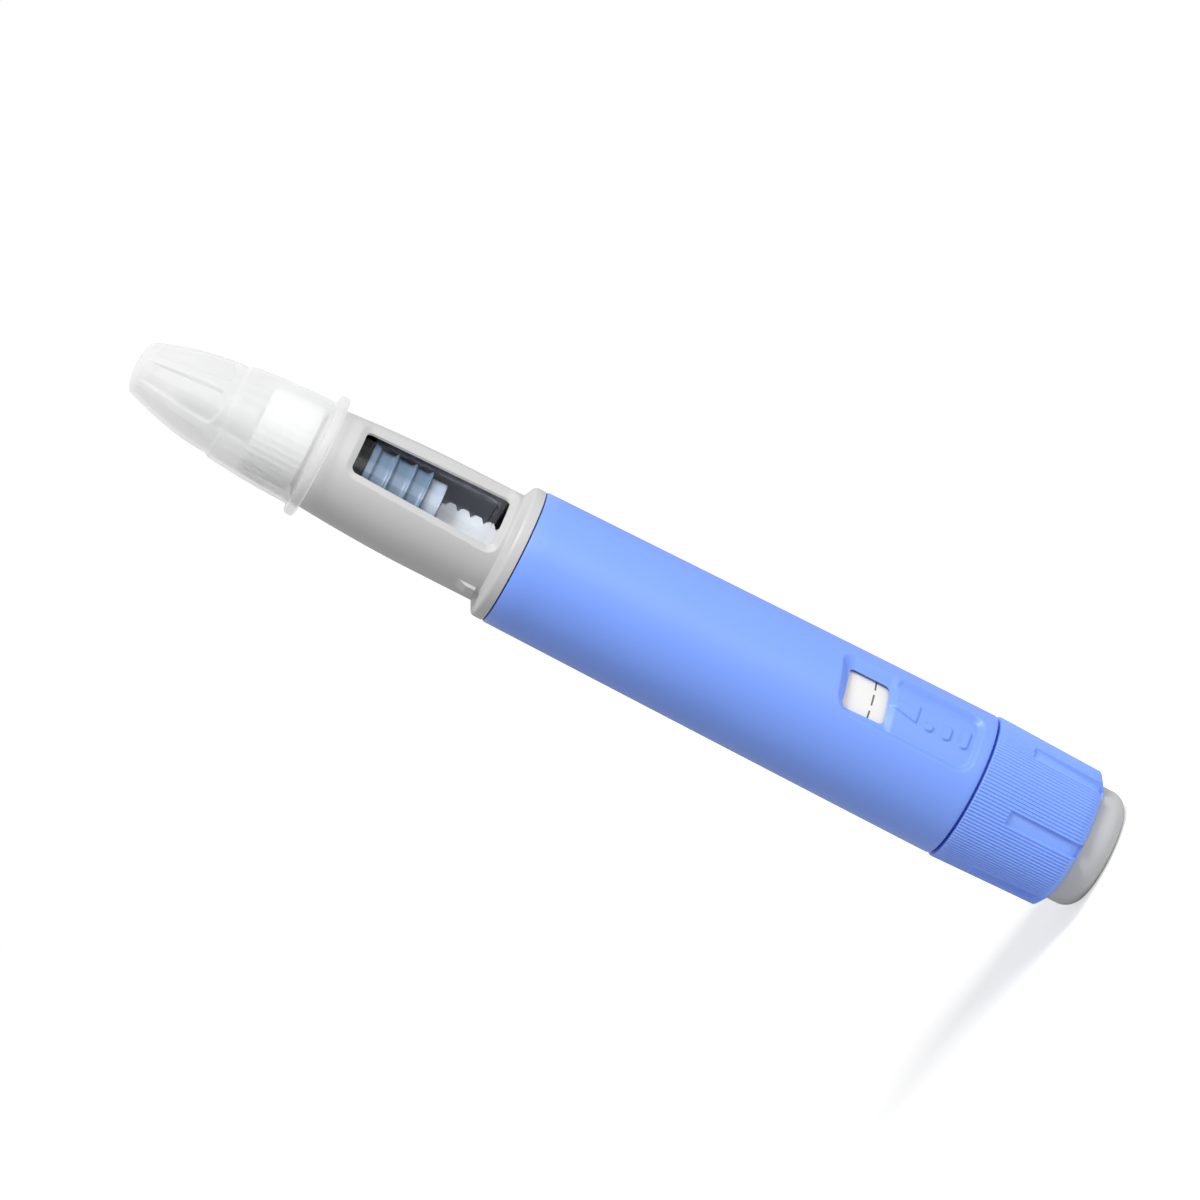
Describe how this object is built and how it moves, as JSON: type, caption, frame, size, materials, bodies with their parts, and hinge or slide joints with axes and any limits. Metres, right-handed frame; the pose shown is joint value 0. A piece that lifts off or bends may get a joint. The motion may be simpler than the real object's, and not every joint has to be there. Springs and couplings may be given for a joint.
{
  "type": "injection pen",
  "caption": "Dial-a-dose injection pen with a windowed cartridge holder, a dose window, a ribbed dial ring, a push button and a capped needle.",
  "frame": {"origin": "centre of the dose button's flat end face, on which the pen stands", "axes": "+Z along the pen towards the needle; -Y is the side with the cartridge window and the dose window"},
  "size_m": [0.0194, 0.0194, 0.1345],
  "materials": {
    "housing_plastic": "satin moulded plastic, light blue",
    "grey_plastic": "satin moulded plastic, light grey",
    "clear_glass": "clear drawn glass",
    "septum_rubber": "dull rubber",
    "crimp_aluminium": "satin",
    "dark_plastic": "moulded plastic, dark grey",
    "spring_steel": "drawn wire",
    "plunger_rubber": "smooth rubber, blue grey",
    "white_plastic": "satin moulded plastic, white",
    "inner_plastic": "moulded plastic, grey",
    "drum_plastic": "white plastic with a printed dashed line",
    "selector_plastic": "satin moulded plastic, light blue",
    "button_plastic": "satin moulded plastic, grey",
    "needle_steel": "ground steel tube",
    "cap_plastic": "translucent moulded plastic, milky white"
  },
  "bodies": {
    "housing": {"housing": "housing_plastic", "cartridge_holder": "grey_plastic", "cartridge_glass": "clear_glass", "cartridge_septum": "septum_rubber", "cartridge_crimp_cap": "crimp_aluminium", "piston_guide": "dark_plastic", "spring_base": "dark_plastic", "torsion_spring": "spring_steel"},
    "needle_tube": {"needle_cannula": "needle_steel"},
    "needle": {"needle_hub": "white_plastic"},
    "inner_cap": {"inner_needle_cap": "white_plastic"},
    "outer_cap": {"outer_needle_cap": "cap_plastic"},
    "plunger": {"cartridge_plunger": "plunger_rubber", "piston_foot": "white_plastic"},
    "rod": {"piston_rod": "white_plastic"},
    "drive": {"drive_tube": "inner_plastic"},
    "selector": {"dose_selector": "selector_plastic", "reset_tube": "inner_plastic"},
    "drum": {"scale_drum": "drum_plastic"},
    "content_nut": {"end_of_content_nut": "inner_plastic"},
    "button": {"dose_button": "button_plastic", "button_spring": "spring_steel"}
  },
  "joints": [
    {"name": "needle_lift", "type": "slide", "parent": "housing", "child": "needle_tube", "axis": [0, 0, 1], "range_m": [0, 0.00396]},
    {"name": "needle_unscrew", "type": "hinge", "parent": "needle_tube", "child": "needle", "pos_m": [0, 0, 0.115], "axis": [0, 0, 1], "range_deg": [0, 1585]},
    {"name": "inner_cap_pull", "type": "slide", "parent": "needle", "child": "inner_cap", "axis": [0, 0, 1], "range_m": [0, 0.016]},
    {"name": "outer_cap_pull", "type": "slide", "parent": "inner_cap", "child": "outer_cap", "axis": [0, 0, 1], "range_m": [0, 0.04]},
    {"name": "plunger_push", "type": "slide", "parent": "housing", "child": "plunger", "axis": [0, 0, 1], "range_m": [0, 0.00268]},
    {"name": "rod_turn", "type": "hinge", "parent": "plunger", "child": "rod", "pos_m": [0, 0, 0.07], "axis": [0, 0, 1], "range_deg": [0, 270]},
    {"name": "drive_turn", "type": "hinge", "parent": "housing", "child": "drive", "pos_m": [0, 0, 0.046], "axis": [0, 0, 1], "range_deg": [0, 270]},
    {"name": "dose_dial", "type": "hinge", "parent": "housing", "child": "selector", "pos_m": [0, 0, 0.011], "axis": [0, 0, 1], "range_deg": [-165, 390]},
    {"name": "drum_climb", "type": "slide", "parent": "selector", "child": "drum", "axis": [0, 0, 1], "range_m": [-0.00183, 0.00433]},
    {"name": "nut_creep", "type": "slide", "parent": "selector", "child": "content_nut", "axis": [0, 0, 1], "range_m": [-0.0005, 0.0012]},
    {"name": "button_press", "type": "slide", "parent": "selector", "child": "button", "axis": [0, 0, 1], "range_m": [0, 0.0022], "stiffness_N_per_m": 500, "springref_m": -0.006, "deforming": ["button_spring"]}
  ],
  "couplings": [
    {"joint": "needle_unscrew", "follows": "needle_lift", "rad_per_m": 6981.3},
    {"joint": "rod_turn", "follows": "plunger_push", "rad_per_m": 1755.1},
    {"joint": "drive_turn", "follows": "plunger_push", "rad_per_m": 1755.1},
    {"joint": "dose_dial", "follows": "drum_climb", "rad_per_m": 1570.8},
    {"joint": "nut_creep", "follows": "drum_climb", "ratio": 0.25}
  ]
}
